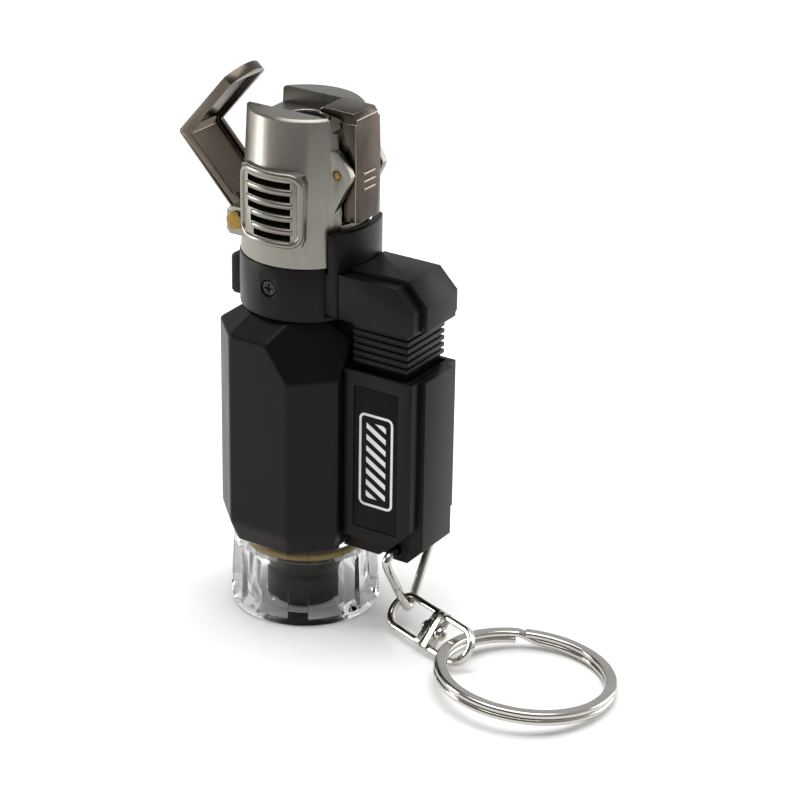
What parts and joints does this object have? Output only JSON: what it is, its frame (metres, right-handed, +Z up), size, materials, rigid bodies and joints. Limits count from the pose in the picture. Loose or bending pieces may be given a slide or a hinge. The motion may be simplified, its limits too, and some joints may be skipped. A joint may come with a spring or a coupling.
{
  "type": "butane torch",
  "caption": "Pocket butane torch: fluted clear base, black faceted body with sliding trigger, satin metal burner head with open flip lid, and a split ring on a swivel.",
  "frame": {"origin": "middle of the clear base's underside, on the tank's upright axis", "axes": "+Z up through the burner, +X from the tank towards the grip block and trigger, -Y to the label side"},
  "size_m": [0.0794, 0.0339, 0.0869],
  "materials": {
    "clear_plastic": "clear polished acrylic, slightly grey at its edges",
    "black_plastic": "satin moulded black, fine texture",
    "satin_metal": "satin nickel-plated casting, faint upright grain",
    "gunmetal": "dark smoked nickel with bright worn edges",
    "brass": "turned brass",
    "nickel": "polished nickel plate",
    "amber_seal": "translucent amber seal",
    "grey_plastic": "plain grey moulding",
    "steel": "plain bright steel",
    "ceramic": "glazed white ceramic",
    "rubber": "black rubber",
    "label": "smooth black plate with a plain printed white frame"
  },
  "bodies": {
    "torch_body": {"tank_housing": "black_plastic", "clear_base": "clear_plastic", "filler_core": "grey_plastic", "seal_ring": "amber_seal", "fill_valve": "brass", "fuel_tank": "grey_plastic", "collar": "black_plastic", "trigger_guide": "black_plastic", "collar_screw_near": "steel", "collar_screw_far": "steel", "burner_head": "satin_metal", "lid_pin": "brass", "lid_spring": "steel", "button_pin": "brass", "button_spring": "steel", "flame_cup": "steel", "flame_grid": "steel", "mixing_tube": "brass", "gas_jet": "brass", "electrode_insulator": "ceramic", "electrode": "steel", "gas_valve": "brass", "dip_tube": "clear_plastic", "gas_hose": "rubber", "lever_pin": "steel", "grip_block": "black_plastic", "label_plate": "label", "piezo_body": "grey_plastic", "trigger_spring": "steel", "ignition_wire": "rubber"},
    "lid": {"lid": "gunmetal"},
    "release_button": {"release_button": "gunmetal"},
    "trigger": {"trigger": "black_plastic"},
    "piezo_plunger": {"piezo_plunger": "black_plastic"},
    "gas_lever": {"gas_lever": "steel"},
    "valve_stem": {"valve_stem": "steel"},
    "flame_lock": {"flame_lock": "black_plastic"},
    "flame_adjuster": {"flame_adjuster": "steel"},
    "key_loop": {"key_loop": "nickel"},
    "swivel_upper": {"swivel_upper": "nickel", "swivel_rivet": "nickel"},
    "swivel_lower": {"swivel_lower": "nickel"},
    "split_ring": {"split_ring": "nickel"}
  },
  "joints": [
    {"name": "lid_hinge", "type": "hinge", "parent": "torch_body", "child": "lid", "pos_m": [-0.0075, 0, 0.0648], "axis": [0, 1, 0], "range_deg": [0, 39.5], "stiffness_Nm_per_rad": 0.006, "springref_deg": -45.84, "deforming": ["lid_spring"]},
    {"name": "button_pivot", "type": "hinge", "parent": "torch_body", "child": "release_button", "pos_m": [0.0088, 0, 0.0743], "axis": [0, 1, 0], "range_deg": [0, 8], "stiffness_Nm_per_rad": 0.02, "springref_deg": -8.59, "deforming": ["button_spring"]},
    {"name": "trigger_slide", "type": "slide", "parent": "torch_body", "child": "trigger", "axis": [0, 0, -1], "range_m": [0, 0.0045], "stiffness_N_per_m": 1200, "springref_m": -0.002, "deforming": ["trigger_spring"]},
    {"name": "plunger_slide", "type": "slide", "parent": "torch_body", "child": "piezo_plunger", "axis": [0, 0, -1], "range_m": [0, 0.0045]},
    {"name": "lever_pivot", "type": "hinge", "parent": "torch_body", "child": "gas_lever", "pos_m": [0.0066, 0, 0.0466], "axis": [0, 1, 0], "range_deg": [0, 5]},
    {"name": "stem_lift", "type": "slide", "parent": "torch_body", "child": "valve_stem", "axis": [0, 0, 1], "range_m": [0, 0.0005]},
    {"name": "flame_lock_slide", "type": "slide", "parent": "torch_body", "child": "flame_lock", "axis": [0, 0, 1], "range_m": [0, 0.0024]},
    {"name": "flame_adjuster_turn", "type": "hinge", "parent": "torch_body", "child": "flame_adjuster", "pos_m": [0, 0, 0.0013], "axis": [0, 0, 1], "range_deg": [-120, 120]},
    {"name": "key_loop_swing", "type": "hinge", "parent": "torch_body", "child": "key_loop", "pos_m": [0.0197, 0, 0.0151], "axis": [0, -1, 0], "range_deg": [-20, 60]},
    {"name": "swivel_swing", "type": "hinge", "parent": "key_loop", "child": "swivel_upper", "pos_m": [0.0197, 0, 0.0034], "axis": [0, -1, 0], "range_deg": [-13, 25]},
    {"name": "swivel_turn", "type": "hinge", "parent": "swivel_upper", "child": "swivel_lower", "pos_m": [0.0179, -0.0011, 0.00345], "axis": [0.9397, -0.342, 0], "continuous": true},
    {"name": "ring_swing", "type": "hinge", "parent": "swivel_lower", "child": "split_ring", "pos_m": [0.03256, -0.00644, 0.00345], "axis": [0.2106, 0.5785, 0.788], "range_deg": [-12, 12]}
  ],
  "couplings": [
    {"joint": "plunger_slide", "follows": "trigger_slide", "ratio": 1},
    {"joint": "lever_pivot", "follows": "trigger_slide", "rad_per_m": 19.39},
    {"joint": "stem_lift", "follows": "trigger_slide", "ratio": 0.11}
  ]
}
